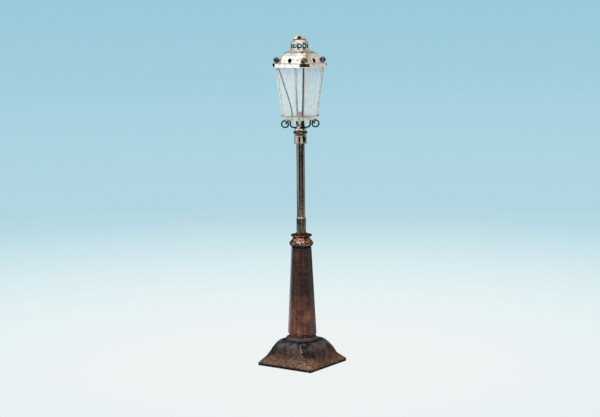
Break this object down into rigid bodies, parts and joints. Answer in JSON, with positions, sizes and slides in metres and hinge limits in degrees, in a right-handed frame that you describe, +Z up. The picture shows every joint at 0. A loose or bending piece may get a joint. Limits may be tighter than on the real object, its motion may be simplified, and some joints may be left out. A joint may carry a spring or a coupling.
{
  "type": "street lamp post",
  "caption": "Table-top street lamp: glazed tapering lantern with hinged vented roof on scroll brackets, slim post, turned capital, tapering octagonal pedestal and flared square foot.",
  "frame": {"origin": "centre of the foot's underside, on the surface that the lamp stands on", "axes": "+Z up along the post; -Y towards the front pane, +X towards the right pane; the square foot and lantern lie square to X and Y"},
  "size_m": [0.0584, 0.0584, 0.3],
  "materials": {
    "brown_paint": "worn, satin dark brown paint with copper showing at the edges",
    "copper": "tarnished copper plate",
    "dark_nickel": "aged, browned nickel plate",
    "nickel": "polished nickel plate with light tarnish",
    "steel": "plain steel",
    "iron": "rough casting",
    "glass": "clear, slightly dusty"
  },
  "bodies": {
    "lamp": {"foot_shell": "brown_paint", "plinth_ring": "brown_paint", "column_shaft": "brown_paint", "base_weight": "iron", "base_cover": "brown_paint", "tie_rod": "steel", "tie_washer": "steel", "tie_nut": "steel", "shaft_bush": "copper", "capital_lower": "copper", "capital_upper": "copper", "post_tube": "dark_nickel", "post_plug": "steel", "post_ferrule": "dark_nickel", "post_socket": "dark_nickel", "lantern_stem": "nickel", "collar_ring": "dark_nickel", "scroll_rivets": "nickel", "lantern_tray": "nickel", "candle_cup": "copper", "top_frame": "nickel", "glass_retainer": "steel", "hinge_leaf_lower": "nickel", "hinge_pin": "steel", "scroll_front_left": "dark_nickel", "corner_bar_front_left": "nickel", "corner_plate_front_left": "dark_nickel", "scroll_front_right": "dark_nickel", "corner_bar_front_right": "nickel", "corner_plate_front_right": "dark_nickel", "scroll_back_right": "dark_nickel", "corner_bar_back_right": "nickel", "corner_plate_back_right": "dark_nickel", "scroll_back_left": "dark_nickel", "corner_bar_back_left": "nickel", "corner_plate_back_left": "dark_nickel", "glass_front": "glass", "glass_right": "glass", "glass_back": "glass", "glass_left": "glass"},
    "roof": {"roof_shell": "nickel", "rosette_nuts": "steel", "hinge_leaf_upper": "nickel", "chimney_flange": "nickel", "vent_drum": "nickel", "drum_crown": "nickel", "chimney_cap": "nickel", "rosette_front_left": "dark_nickel", "rosette_front_right": "dark_nickel", "rosette_back_right": "dark_nickel", "rosette_back_left": "dark_nickel"}
  },
  "joints": [
    {"name": "roof_hinge", "type": "hinge", "parent": "lamp", "child": "roof", "pos_m": [0, 0.02105, 0.27445], "axis": [-1, 0, 0], "range_deg": [0, 100]}
  ]
}
